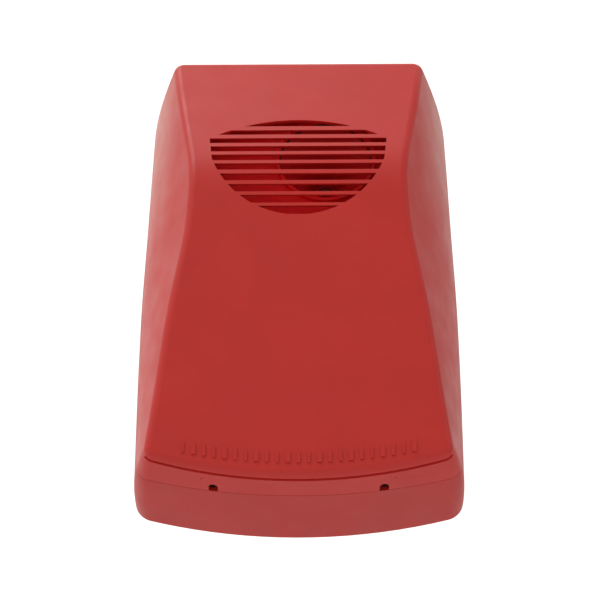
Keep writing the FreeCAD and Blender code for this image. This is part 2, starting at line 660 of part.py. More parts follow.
# ---- Horn speaker -------------------------------------------------------------------------
def make_horn_flare():
    """Exponential horn with a bolted collar at the throat and a rolled rim at the mouth."""
    start = BRACKET_DEPTH + BRACKET_THICKNESS
    growth = math.log(HORN_MOUTH_RADIUS / HORN_THROAT_RADIUS)
    inner = []
    outer = []
    for index in range(HORN_STEPS + 1):
        share = index / HORN_STEPS
        depth = start + share * (HORN_MOUTH_DEPTH - start)
        radius = HORN_THROAT_RADIUS * math.exp(growth * share)
        inner.append((radius, depth))
        outer.append((radius + HORN_WALL, depth))
    rim_radius = HORN_MOUTH_RADIUS + HORN_RIM
    rim = [(rim_radius, HORN_MOUTH_DEPTH), (rim_radius, HORN_MOUTH_DEPTH - HORN_WALL)]
    flare = turned(inner + rim + list(reversed(outer[:-1])), HORN_X, HORN_Z)
    collar = tube(HORN_X, HORN_Z, (start, start + 3), THROAT_COLLAR_RADIUS, HORN_THROAT_RADIUS)
    flare = flare.fuse(collar).removeSplitter()
    return flare.cut([rod(x, z, (start - 1, start + 4), 1.4) for x, z in driver_screw_places()])


def driver_screw_places():
    places = []
    for index in range(DRIVER_SCREW_COUNT):
        angle = math.radians(90 + 360 * index / DRIVER_SCREW_COUNT)
        places.append((HORN_X + DRIVER_SCREW_CIRCLE * math.cos(angle),
                       HORN_Z + DRIVER_SCREW_CIRCLE * math.sin(angle)))
    return places


def make_horn_bracket():
    rear = BRACKET_DEPTH
    front = BRACKET_DEPTH + BRACKET_THICKNESS
    reach = HORN_POST_SPREAD + 6
    strap = block((HORN_X - reach, HORN_X + reach), (rear, front), (HORN_Z - 8, HORN_Z + 8))
    strap = round_corners(strap, 4)
    disc = rod(HORN_X, HORN_Z, (rear, front), THROAT_COLLAR_RADIUS + 3)
    plate = strap.fuse(disc).removeSplitter()
    holes = [rod(HORN_X, HORN_Z, (0, FAR), HORN_THROAT_RADIUS)]
    holes += [rod(x, z, (0, FAR), 1.4) for x, z in driver_screw_places()]
    holes += [rod(HORN_X + side * HORN_POST_SPREAD, HORN_Z, (0, FAR), SCREW_HOLE)
              for side in (-1, 1)]
    return plate.cut(holes)


def make_driver():
    """Compression driver: housing, magnet system, voice coil, diaphragm and front plate."""
    rear = DRIVER_REAR
    plate_rear = BRACKET_DEPTH - DRIVER_FRONT_PLATE
    radius = DRIVER_RADIUS
    floor = rear + DRIVER_WALL
    cup = rod(HORN_X, HORN_Z, (rear, plate_rear), radius)
    cup = cup.cut(rod(HORN_X, HORN_Z, (floor, plate_rear), radius - DRIVER_WALL))
    save("driver_housing", cup)
    front = tube(HORN_X, HORN_Z, (plate_rear, BRACKET_DEPTH), radius, HORN_THROAT_RADIUS)
    front = front.cut([rod(x, z, (0, FAR), 1.3) for x, z in driver_screw_places()])
    save("driver_front_plate", front)
    magnet_outer, magnet_inner = MAGNET_RADII
    yoke = floor + 2
    magnet_top = yoke + 7
    gap_top = magnet_top + 2
    save("driver_pole_piece", turned([(0, floor), (magnet_outer, floor), (magnet_outer, yoke),
                                      (POLE_RADIUS, yoke), (POLE_RADIUS, gap_top), (0, gap_top)],
                                     HORN_X, HORN_Z))
    save("driver_magnet", tube(HORN_X, HORN_Z, (yoke, magnet_top), magnet_outer, magnet_inner))
    save("driver_top_plate", tube(HORN_X, HORN_Z, (magnet_top, gap_top), magnet_outer, GAP_RADIUS))
    coil_outer, coil_inner = VOICE_COIL_RADII
    coil_top = gap_top + 2
    save("voice_coil", tube(HORN_X, HORN_Z, (coil_top - 6, coil_top), coil_outer, coil_inner))
    film = radius - DRIVER_WALL - 0.5
    save("driver_diaphragm", turned([(0, coil_top + 2.5), (4, coil_top + 2), (coil_outer, coil_top),
                                     (film, coil_top + 0.6), (film, coil_top + 1.2),
                                     (coil_outer + 0.3, coil_top + 0.6), (4.2, coil_top + 2.6),
                                     (0, coil_top + 3.1)], HORN_X, HORN_Z))
    lug = block((-1.6, 1.6), (yoke + 1, yoke + 8), (0, 5))
    terminals = []
    for side in (-1, 1):
        tab = lug.copy()
        tab.translate(FreeCAD.Vector(HORN_X + side * 4, 0, HORN_Z - radius - 4.6))
        terminals.append(tab.cut(rod(HORN_X, HORN_Z, (0, FAR), radius + EPS)))
    save("driver_terminals", terminals)


def make_horn():
    save("horn_flare", make_horn_flare())
    save("horn_bracket", make_horn_bracket())
    seat = BRACKET_DEPTH + BRACKET_THICKNESS
    save("horn_screws", [screw(HORN_X + side * HORN_POST_SPREAD, HORN_Z, seat, 10, 1.5, 3.2, 2.2)
                         for side in (-1, 1)])
    save("driver_screws", [screw(x, z, seat + 3, 7.4, 1.25, 2.3, 1.6)
                           for x, z in driver_screw_places()])
    make_driver()


# ---- Circuit board ------------------------------------------------------------------------
def on_board(x_range, height, z_range):
    return block(x_range, (BOARD_FRONT, BOARD_FRONT + height), z_range)


def make_circuit_board():
    board = round_corners(block(BOARD_X, (BOARD_REAR, BOARD_FRONT), BOARD_Z), 2)
    return board.cut([rod(x, z, (0, FAR), SCREW_HOLE) for x, z in BOARD_POSTS])


def make_terminal_block():
    bottom = TERMINAL_TOP_Z - TERMINAL_COUNT * TERMINAL_PITCH
    body = on_board(TERMINAL_X, TERMINAL_DEPTH, (bottom, TERMINAL_TOP_Z))
    x0, x1 = TERMINAL_X
    screw_x = x0 + 5
    front = BOARD_FRONT + TERMINAL_DEPTH
    cuts = []
    screws = []
    for index in range(TERMINAL_COUNT):
        z = bottom + TERMINAL_PITCH * (index + 0.5)
        cuts.append(rod(screw_x, z, (front - 7, front + 1), 1.8))
        cuts.append(block((x1 - 4, x1 + 1), (BOARD_FRONT + 1.5, BOARD_FRONT + 4.5),
                          (z - 1.5, z + 1.5)))
        pin = rod(screw_x, z, (front - 7, front - 1.2), 1.7)
        slot = block((screw_x - 1.4, screw_x + 1.4), (front - 2.2, front), (z - 0.3, z + 0.3))
        screws.append(pin.cut(slot))
    bevel = side_prism([(front - 2, bottom - 1), (front + 1, bottom - 1),
                        (front + 1, TERMINAL_TOP_Z + 1), (front - 2, TERMINAL_TOP_Z + 1)],
                       (x1 - 2, x1 + 1))
    save("terminal_block", body.cut(cuts + [bevel]))
    save("terminal_screws", screws)


def make_dip_switch():
    x, z = DIP_CENTRE
    half = DIP_COUNT * DIP_PITCH / 2
    body = on_board((x - half - 0.8, x + half + 0.8), 4.5, (z - 3.4, z + 3.4))
    top = BOARD_FRONT + 4.5
    cuts = []
    for index in range(DIP_COUNT):
        slot_x = x + (index - (DIP_COUNT - 1) / 2) * DIP_PITCH
        cuts.append(block((slot_x - 0.8, slot_x + 0.8), (top - 2, top + 1), (z - 1.6, z + 1.6)))
        slider = block((slot_x - 0.7, slot_x + 0.7), (top - 1.9, top + 0.8),
                       (z - 1.5, z - 1.5 + 3.0 - DIP_TRAVEL))
        save("dip_slider_" + str(index + 1), slider)
    save("dip_switch_body", body.cut(cuts))


def make_volume_trimmer():
    x, z = TRIMMER_CENTRE
    body = on_board((x - 4.8, x + 4.8), 5, (z - 4.8, z + 4.8))
    top = BOARD_FRONT + 5
    body = body.cut(rod(x, z, (top - 2, top + 1), TRIMMER_RADIUS + PLUNGER_CLEARANCE))
    dial = rod(x, z, (top - 1.9, top + 0.6), TRIMMER_RADIUS)
    dial = dial.cut(block((x - 2.6, x + 2.6), (top - 0.6, top + 1), (z - 0.45, z + 0.45)))
    dial = dial.cut(block((x - 0.45, x + 0.45), (top - 0.6, top + 1), (z, z + 2.6)))
    save("volume_trimmer_body", body)
    save("volume_trimmer_dial", dial)


def make_tamper_switches():
    x, z = TAMPER_CENTRE
    half_width, half_height = SWITCH_HALF_SIZE
    body = on_board((x - half_width, x + half_width), TAMPER_TOP - BOARD_FRONT,
                    (z - half_height, z + half_height))
    bore = PLUNGER_RADIUS + PLUNGER_CLEARANCE
    save("tamper_switch_body", body.cut(rod(x, z, (TAMPER_TOP - 11, FAR), bore)))
    plunger = rod(x, z, (TAMPER_TOP - 10, TAMPER_TIP), PLUNGER_RADIUS)
    tip = [e for e in plunger.Edges if e.CenterOfMass.y < -TAMPER_TIP + 0.1]
    save("tamper_plunger", plunger.makeFillet(0.8, tip))
    x, z = WALL_TAMPER_CENTRE
    body = block((x - half_width, x + half_width), (WALL_TAMPER_REAR, BOARD_REAR),
                 (z - half_height, z + half_height))
    save("wall_tamper_body", body.cut(rod(x, z, (-1, 12), bore)))
    plunger = rod(x, z, (0, 11), PLUNGER_RADIUS)
    tip = [e for e in plunger.Edges if e.CenterOfMass.y > -0.1]
    save("wall_tamper_plunger", plunger.makeFillet(0.6, tip))


def capacitor(x, z, radius, height):
    can = rod(x, z, (BOARD_FRONT, BOARD_FRONT + height), radius)
    rims = [e for e in can.Edges if e.Curve.TypeId == "Part::GeomCircle"]
    return can.makeFillet(0.6, rims)


def make_transformer():
    """An E core with two windows and one winding that fills them."""
    z0, z1 = TRANSFORMER_Z
    core = on_board(TRANSFORMER_X, TRANSFORMER_HEIGHT, TRANSFORMER_Z)
    windows = [block(x_range, (BOARD_FRONT - 1, BOARD_FRONT + WINDOW_HEIGHT), (z0 - 1, z1 + 1))
               for x_range in TRANSFORMER_WINDOWS]
    save("transformer_core", core.cut(windows))
    fit = 2 * EPS
    height = WINDOW_HEIGHT - 2 * fit
    limbs = [on_board((x0 + fit, x1 - fit), height, (z0 - 2, z1 + 2))
             for x0, x1 in TRANSFORMER_WINDOWS]
    span = (TRANSFORMER_WINDOWS[0][0] + fit, TRANSFORMER_WINDOWS[1][1] - fit)
    ends = [on_board(span, height, (z1 + fit, z1 + WINDING_OVERHANG)),
            on_board(span, height, (z0 - WINDING_OVERHANG, z0 - fit))]
    save("transformer_winding", fuse(limbs + ends).removeSplitter())


def make_heat_sink():
    x0 = HEAT_SINK_X[0]
    z0, z1 = HEAT_SINK_Z
    parts = [on_board(HEAT_SINK_X, HEAT_SINK_HEIGHT, HEAT_SINK_Z)]
    for index in range(FIN_COUNT):
        fin_x = x0 + FIN_PITCH * index
        parts.append(on_board((fin_x, fin_x + FIN_THICKNESS), HEAT_SINK_HEIGHT,
                              (z0 - FIN_REACH, z1 + FIN_REACH)))
    save("heat_sink", fuse(parts))


def make_status_led():
    foot = BOARD_FRONT
    save("status_led", turned([(0, foot), (2.9, foot), (2.9, foot + 1), (2.5, foot + 1),
                               (2.5, foot + 6), (1.8, foot + 7.6), (0, foot + 8.3)], *LED_CENTRE))


def make_small_components():
    small = []
    for index in range(CHIP_PART_COUNT):
        x = CHIP_PART_X + CHIP_PART_PITCH * index
        for z_range, height in CHIP_PART_ROWS:
            small.append(on_board((x, x + CHIP_PART_WIDTH), height, z_range))
    save("small_components", small)


def make_board_parts():
    save("circuit_board", make_circuit_board())
    save("board_screws", [screw(x, z, BOARD_FRONT, 8, 1.2, 2.9, 1.8) for x, z in BOARD_POSTS])
    make_terminal_block()
    make_dip_switch()
    make_volume_trimmer()
    make_tamper_switches()
    save("capacitors", [capacitor(*values) for values in CAPACITORS])
    make_transformer()
    save("controller_chip", on_board(CHIP_X, CHIP_HEIGHT, CHIP_Z))
    save("power_transistors", [on_board(TRANSISTOR_X, TRANSISTOR_HEIGHT, z_range)
                               for z_range in TRANSISTOR_Z])
    make_heat_sink()
    make_status_led()
    make_small_components()
    for name, (x_range, z_range) in (("horn_connector", HORN_CONNECTOR),
                                     ("battery_connector", BATTERY_CONNECTOR)):
        save(name, on_board(x_range, CONNECTOR_HEIGHT, z_range))


# ---- Battery ----------------------------------------------------------------------------------
def make_battery():
    half = BATTERY_HALF_WIDTH
    case = block((-half, half), (BATTERY_REAR, BATTERY_FRONT), BATTERY_Z)
    save("battery", case.makeFillet(1.5, case.Edges))
    tabs = []
    for side in (-1, 1):
        x = side * BATTERY_TERMINAL_X
        foot = block((x - 5, x + 5), (9, 15), (BATTERY_Z[1], BATTERY_Z[1] + 1.2))
        blade = block((x - 2.4, x + 2.4), (11.6, 12.4), (BATTERY_Z[1] + 1.2, BATTERY_Z[1] + 7.5))
        tabs.append(foot.fuse(blade))
    save("battery_terminals", tabs)
    seat = BATTERY_FRONT + CLAMP_GAP
    top = seat + CLAMP_THICKNESS
    half_width, half_height = CLAMP_HALF_SIZE
    clamp = block((-half_width, half_width), (seat, top), (CLAMP_Z - half_height, CLAMP_Z + half_height))
    clamp = round_corners(clamp, 4)
    stiffener = block((-46, 46), (top, top + 2), (CLAMP_Z - 1, CLAMP_Z + 1))
    clamp = clamp.fuse(stiffener)
    holes = [rod(side * CLAMP_POST_X, CLAMP_Z, (0, FAR), SCREW_HOLE) for side in (-1, 1)]
    save("battery_clamp", clamp.cut(holes))
    save("clamp_screws", [screw(side * CLAMP_POST_X, CLAMP_Z, top, 9, 1.2, 2.9, 1.8)
                          for side in (-1, 1)])


# ---- Leads --------------------------------------------------------------------------------
def lead(points, radius):
    """A wire along straight runs joined by tangent arcs as large as the runs allow."""
    points = [at(*p) for p in points]
    edges = []
    start = points[0]
    for before, corner, after in zip(points, points[1:], points[2:]):
        run_in = corner - before
        run_out = after - corner
        half_turn = run_in.getAngle(run_out) / 2
        trim = 0.45 * min(run_in.Length, run_out.Length)
        print("lead bend radius", round(trim / math.tan(half_turn), 1))
        leave = corner - run_in.normalize() * trim
        rejoin = corner + run_out.normalize() * trim
        middle = (leave + rejoin) / 2
        inward = (middle - corner).normalize()
        bend = trim / math.tan(half_turn)
        centre = corner + inward * (bend / math.cos(half_turn))
        edges.append(Part.makeLine(start, leave))
        edges.append(Part.Arc(leave, centre - inward * bend, rejoin).toShape())
        start = rejoin
    edges.append(Part.makeLine(start, points[-1]))
    path = Part.Wire(edges)
    direction = points[1] - points[0]
    section = Part.Wire(Part.makeCircle(radius, points[0], direction))
    solid = path.makePipeShell([section], True, False)
    print("lead volume ratio", solid.Volume / (math.pi * radius ** 2 * path.Length))
    return solid


def make_leads():
    save("battery_lead_red", lead(BATTERY_LEAD_RED, LEAD_RADIUS))
    save("battery_lead_black", lead(BATTERY_LEAD_BLACK, LEAD_RADIUS))
    save("horn_lead_red", lead(HORN_LEAD_RED, LEAD_RADIUS))
    save("horn_lead_black", lead(HORN_LEAD_BLACK, LEAD_RADIUS))


# ---- Loose fittings -----------------------------------------------------------------------
def make_cover_screw(side):
    """A cross-head screw that points up into its lug, with its head recessed in the chin."""
    outer, seat, head_radius = COVER_SCREW_HEAD
    length, radius = COVER_SCREW_SHANK
    head = Part.makeCylinder(head_radius, seat - outer, at(0, NOTCH_CENTRE, outer))
    shank = Part.makeCylinder(radius, length, at(0, NOTCH_CENTRE, seat))
    body = head.fuse(shank)
    for wide, tall in ((1.6, 0.4), (0.4, 1.6)):
        body = body.cut(block((-wide, wide), (NOTCH_CENTRE - tall, NOTCH_CENTRE + tall),
                              (outer - 1, outer + 1.1)))
    return chin_placed(body, side)


def make_hinge_pins():
    pin = cross_rod((BASE_LUG_X[0] - 0.5, COVER_KNUCKLE_X[1] + 0.5), HINGE_DEPTH, HINGE_Z,
                    HINGE_PIN_RADIUS)
    ends = [e for e in pin.Edges if e.Curve.TypeId == "Part::GeomCircle"]
    return both_sides(pin.makeFillet(0.3, ends))


def make_cable_grommet():
    x, z = CABLE_ENTRY
    bore = CABLE_BORE_RADIUS
    neck = GROMMET_NECK_RADIUS - EPS
    flange = GROMMET_FLANGE_RADIUS
    rear = 0.4
    recess = GROMMET_RECESS - EPS
    pad = ENTRY_PAD_TOP + EPS
    return turned([(bore, rear), (flange, rear), (flange, recess), (neck, recess), (neck, pad),
                   (flange, pad), (flange - 1, pad + 1.9), (bore + 1.6, GROMMET_TOP),
                   (bore, GROMMET_TOP)], x, z)


def main():
    os.makedirs("parts", exist_ok=True)
    outer = housing_body(0)
    room = housing_body(WALL)
    shell = outer.cut(room.common(block((-FAR, FAR), (BACK_WALL, FAR), (-FAR, FAR))))
    save("front_cover", make_front_cover(outer, shell, room))
    save("base_housing", make_base_housing(shell))
    make_tall_posts()
    save("hinge_pins", make_hinge_pins())
    save("cover_screw_left", make_cover_screw(-1))
    save("cover_screw_right", make_cover_screw(1))
    save("cable_grommet", make_cable_grommet())
    save("inner_baffle", make_inner_baffle())
    save("baffle_screws", make_baffle_screws())
    make_horn()
    make_board_parts()
    make_battery()
    make_leads()


main()
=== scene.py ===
import json
import math

import bmesh
import bpy
from mathutils import Matrix, Vector


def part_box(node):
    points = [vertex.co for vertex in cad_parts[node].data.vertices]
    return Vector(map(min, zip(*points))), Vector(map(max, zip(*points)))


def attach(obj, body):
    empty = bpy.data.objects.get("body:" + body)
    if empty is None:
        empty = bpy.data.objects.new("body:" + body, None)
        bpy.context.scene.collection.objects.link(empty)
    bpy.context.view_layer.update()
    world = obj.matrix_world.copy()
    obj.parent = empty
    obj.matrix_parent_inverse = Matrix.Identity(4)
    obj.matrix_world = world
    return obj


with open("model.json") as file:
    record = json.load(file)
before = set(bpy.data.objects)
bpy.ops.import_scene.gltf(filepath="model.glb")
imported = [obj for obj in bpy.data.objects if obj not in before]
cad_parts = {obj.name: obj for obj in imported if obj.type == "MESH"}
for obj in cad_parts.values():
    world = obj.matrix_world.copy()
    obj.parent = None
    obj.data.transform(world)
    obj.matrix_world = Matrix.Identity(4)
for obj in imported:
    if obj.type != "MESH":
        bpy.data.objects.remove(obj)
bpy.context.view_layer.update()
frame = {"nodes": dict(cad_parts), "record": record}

MM = 0.001

# Painted sheen: a paler pink painted on the upper outer sides of the housing in place of the pale
# reflection that falls there; its colour, and where it starts and ends outwards from the middle,
# upwards and away from the wall, in metres.
PAINTED_SHEEN_RED = (0.600, 0.170, 0.140)
SHEEN_OUTWARDS = (0.074, 0.090)
SHEEN_UPWARDS = (0.030, 0.130)
SHEEN_BACK = (-0.010, -0.001)

# Millimetre sizes of the details that repeat.
PIN_PITCH = 2.54
CHIP_LEGS_PER_SIDE = 14
CHIP_LEG_PITCH = 1.22
TERMINAL_WAYS = 8
BATTERY_CELLS = 6
BATTERY_CELL_PITCH = 9.6
BACK_WALL_FACE = 2.8
RIB_HALF_WIDTH = 0.7
WEB_HALF_WIDTH = 0.6

scene = bpy.context.scene
nodes = frame["nodes"]


# ---- Material tools --------------------------------------------------------------------------
class Shader:
    """A node material with one Principled shader and object coordinates in metres."""

    def __init__(self, name, colour, roughness, metallic=0.0, specular=0.5):
        self.material = bpy.data.materials.new(name)
        self.material.use_nodes = True
        self.tree = self.material.node_tree
        self.bsdf = self.tree.nodes["Principled BSDF"]
        self.bsdf.inputs["Base Color"].default_value = (*colour, 1.0)
        self.bsdf.inputs["Roughness"].default_value = roughness
        self.bsdf.inputs["Metallic"].default_value = metallic
        self.bsdf.inputs["Specular IOR Level"].default_value = specular
        coordinates = self.tree.nodes.new("ShaderNodeTexCoord")
        self.position = coordinates.outputs["Object"]

    def node(self, kind, **values):
        made = self.tree.nodes.new(kind)
        for key, value in values.items():
            if key in made.inputs:
                made.inputs[key].default_value = value
            else:
                setattr(made, key, value)
        return made

    def link(self, source, target):
        self.tree.links.new(source, target)

    def noise(self, scale, detail=2.0, stretch=None, distortion=0.0):
        texture = self.node("ShaderNodeTexNoise", Scale=scale, Detail=detail,
                            Distortion=distortion)
        source = self.position
        if stretch:
            mapping = self.node("ShaderNodeMapping", Scale=stretch)
            self.link(source, mapping.inputs["Vector"])
            source = mapping.outputs["Vector"]
        self.link(source, texture.inputs["Vector"])
        return texture.outputs["Fac"]

    def ranged(self, source, low, high, start=0.0, end=1.0):
        chosen = self.node("ShaderNodeMapRange")
        chosen.inputs["From Min"].default_value = start
        chosen.inputs["From Max"].default_value = end
        chosen.inputs["To Min"].default_value = low
        chosen.inputs["To Max"].default_value = high
        self.link(source, chosen.inputs["Value"])
        return chosen.outputs["Result"]

    def vary_colour(self, source, dark, light):
        ramp = self.node("ShaderNodeValToRGB")
        ramp.color_ramp.elements[0].position = 0.35
        ramp.color_ramp.elements[1].position = 0.65
        ramp.color_ramp.elements[0].color = (*dark, 1.0)
        ramp.color_ramp.elements[1].color = (*light, 1.0)
        self.link(source, ramp.inputs["Fac"])
        return ramp.outputs["Color"]

    def mixed(self, factor, first, second):
        mix = self.node("ShaderNodeMix", data_type="RGBA")
        self.link(factor, mix.inputs[0])
        for socket, value in ((mix.inputs[6], first), (mix.inputs[7], second)):
            if isinstance(value, tuple):
                socket.default_value = (*value, 1.0)
            else:
                self.link(value, socket)
        return mix.outputs[2]

    def upper_corner_sheen(self):
        """Mask of the painted sheen: rises to one towards the upper outer sides of the housing, and
        is zero on its back.
        """
        parts = self.node("ShaderNodeSeparateXYZ")
        self.link(self.position, parts.inputs["Vector"])
        outwards = self.node("ShaderNodeMath", operation="ABSOLUTE")
        self.link(parts.outputs["X"], outwards.inputs[0])
        both = self.node("ShaderNodeMath", operation="MULTIPLY")
        self.link(self.ranged(outwards.outputs["Value"], 0.0, 1.0, *SHEEN_OUTWARDS), both.inputs[0])
        self.link(self.ranged(parts.outputs["Z"], 0.0, 1.0, *SHEEN_UPWARDS), both.inputs[1])
        sheen_mask = self.node("ShaderNodeMath", operation="MULTIPLY")
        self.link(both.outputs["Value"], sheen_mask.inputs[0])
        self.link(self.ranged(parts.outputs["Y"], 1.0, 0.0, *SHEEN_BACK), sheen_mask.inputs[1])
        return sheen_mask.outputs["Value"]

    def base(self, source):
        self.link(source, self.bsdf.inputs["Base Color"])

    def rough(self, source):
        self.link(source, self.bsdf.inputs["Roughness"])

    def bump(self, layers):
        """Stacks bump layers: (height, strength, distance in metres)."""
        normal = None
        for height, strength, distance in layers:
            bump = self.node("ShaderNodeBump", Strength=strength, Distance=distance)
            self.link(height, bump.inputs["Height"])
            if normal:
                self.link(normal, bump.inputs["Normal"])
            normal = bump.outputs["Normal"]
        self.link(normal, self.bsdf.inputs["Normal"])


def scaled(colour, factor):
    return tuple(min(1.0, c * factor) for c in colour)


def moulded(name, colour, roughness=0.45, grain=2200.0, specular=0.5, painted_sheen=None):
    """Moulded plastic: a fine spark-eroded grain, faint flow marks and slightly uneven gloss."""
    shader = Shader(name, colour, roughness, specular=specular)
    clouds = shader.noise(28.0, detail=4.0, distortion=0.4)
    surface = shader.vary_colour(clouds, scaled(colour, 0.97), scaled(colour, 1.03))
    # Painted sheen: mixes a paler colour into the upper outer sides, standing in for reflected light.
    if painted_sheen:
        surface = shader.mixed(shader.upper_corner_sheen(), surface, painted_sheen)
    shader.base(surface)
    shader.rough(shader.ranged(shader.noise(60.0, detail=5.0), roughness - 0.05,
                               roughness + 0.06, 0.3, 0.7))
    fine = shader.noise(grain, detail=3.0)
    waves = shader.noise(14.0, detail=1.0)
    shader.bump([(waves, 0.25, 0.0004), (fine, 0.5, 0.00004)])
    return shader.material


def metal(name, colour, roughness=0.3, brushed=(1.0, 1.0, 30.0)):
    """Plated or brushed metal with a drawn grain and cloudy plating."""
    shader = Shader(name, colour, roughness, metallic=1.0)
    grain = shader.noise(160.0, detail=6.0, stretch=brushed)
    cloud = shader.noise(90.0, detail=3.0)
    shader.base(shader.vary_colour(cloud, scaled(colour, 0.86), scaled(colour, 1.1)))
    shader.rough(shader.ranged(grain, roughness - 0.08, roughness + 0.12, 0.3, 0.7))
    shader.bump([(grain, 0.2, 0.00003)])
    return shader.material


def make_materials():
    # Cover and base both get the painted sheen, a paler pink painted on their upper outer sides.
    reds = {
        "cover_red": moulded("cover_red", (0.555, 0.0150, 0.0095), 0.42,
                             painted_sheen=PAINTED_SHEEN_RED),
        "base_red": moulded("base_red", (0.500, 0.0160, 0.0110), 0.45,
                            painted_sheen=PAINTED_SHEEN_RED),
        # baffle_red is much lighter than the cover's red so the interior behind the slots reads
        # brighter: real red plastic with painted light on top.
        "baffle_red": moulded("baffle_red", (0.940, 0.011, 0.015), 0.50, grain=1500.0, specular=0.15),
    }
    plastics = {
        "black_rubber": moulded("black_rubber", (0.020, 0.020, 0.021), 0.72, grain=1400.0),
        # horn_red is also lightened past the cover's red to brighten the interior behind the slots:
        # real red with painted light.
        "horn_red": moulded("horn_red", (0.640, 0.008, 0.010), 0.45, specular=0.2),
        "driver_black": moulded("driver_black", (0.022, 0.022, 0.024), 0.36, grain=900.0),
        "diaphragm_film": moulded("diaphragm_film", (0.260, 0.130, 0.060), 0.30),
        "terminal_green": moulded("terminal_green", (0.045, 0.260, 0.110), 0.42),
        "dip_blue": moulded("dip_blue", (0.030, 0.090, 0.400), 0.35),
        "trimmer_blue": moulded("trimmer_blue", (0.040, 0.130, 0.460), 0.33),
        "white_plastic": moulded("white_plastic", (0.720, 0.700, 0.640), 0.40),
        "switch_black": moulded("switch_black", (0.025, 0.025, 0.027), 0.40),
        "plunger_white": moulded("plunger_white", (0.760, 0.740, 0.690), 0.30),
        "capacitor_sleeve": moulded("capacitor_sleeve", (0.030, 0.040, 0.100), 0.24),
        "winding_tape": moulded("winding_tape", (0.700, 0.460, 0.050), 0.28, grain=500.0),
        "chip_black": moulded("chip_black", (0.020, 0.020, 0.021), 0.50),
        "clamp_black": moulded("clamp_black", (0.030, 0.030, 0.032), 0.50),
        "battery_grey": moulded("battery_grey", (0.060, 0.062, 0.068), 0.48, grain=1200.0),
        "wire_red": moulded("wire_red", (0.480, 0.018, 0.018), 0.30, grain=400.0),
        "wire_black": moulded("wire_black", (0.020, 0.020, 0.022), 0.30, grain=400.0),
        "ferrite": moulded("ferrite", (0.045, 0.045, 0.048), 0.60, grain=700.0),
    }
    metals = {
        "stainless": metal("stainless", (0.560, 0.560, 0.550), 0.28),
        # black_screw is near black so the screw heads in the cover notches look as dark as the shade
        # there: painted shade.
        "black_screw": metal("black_screw", (0.012, 0.008, 0.008), 0.60),
        "zinc_screw": metal("zinc_screw", (0.600, 0.610, 0.620), 0.30),
        "zinc_sheet": metal("zinc_sheet", (0.560, 0.580, 0.590), 0.34, brushed=(30.0, 1.0, 1.0)),
        "copper_wire": metal("copper_wire", (0.720, 0.300, 0.120), 0.30),
        "tinned_brass": metal("tinned_brass", (0.640, 0.600, 0.480), 0.32),
        "heat_sink_black": metal("heat_sink_black", (0.050, 0.050, 0.055), 0.42),
    }
    special = {"board_green": circuit_board_material(), "led_lens": lens_material()}
    return {**reds, **plastics, **metals, **special}


def circuit_board_material():
    """Green solder resist over a faint regular weave of lighter green."""
    green = (0.012, 0.120, 0.040)
    shader = Shader("board_green", green, 0.28, specular=0.5)
    weave = shader.node("ShaderNodeTexBrick", Scale=240.0)
    weave.inputs["Mortar Size"].default_value = 0.035
    weave.offset = 0.37
    swapped = shader.node("ShaderNodeMapping")
    swapped.inputs["Rotation"].default_value = (math.radians(90), 0.0, 0.0)
    shader.link(shader.position, swapped.inputs["Vector"])
    shader.link(swapped.outputs["Vector"], weave.inputs["Vector"])
    shader.base(shader.mixed(weave.outputs["Fac"], green, scaled(green, 1.5)))
    shader.rough(shader.ranged(shader.noise(80.0), 0.22, 0.36, 0.3, 0.7))
    shader.bump([(weave.outputs["Fac"], 0.3, 0.00005)])
    return shader.material


def lens_material():
    shader = Shader("led_lens", (0.650, 0.030, 0.020), 0.22)
    shader.bsdf.inputs["Transmission Weight"].default_value = 0.35
    haze = shader.noise(900.0)
    shader.base(shader.vary_colour(haze, (0.560, 0.020, 0.016), (0.700, 0.040, 0.030)))
    return shader.material


def paint_cad_nodes(materials):
    slots = {row["node"]: row["material_slot"] for row in frame["record"]["subparts"]}
    for name, node in nodes.items():
        node.data.materials.clear()
        node.data.materials.append(materials[slots[name]])


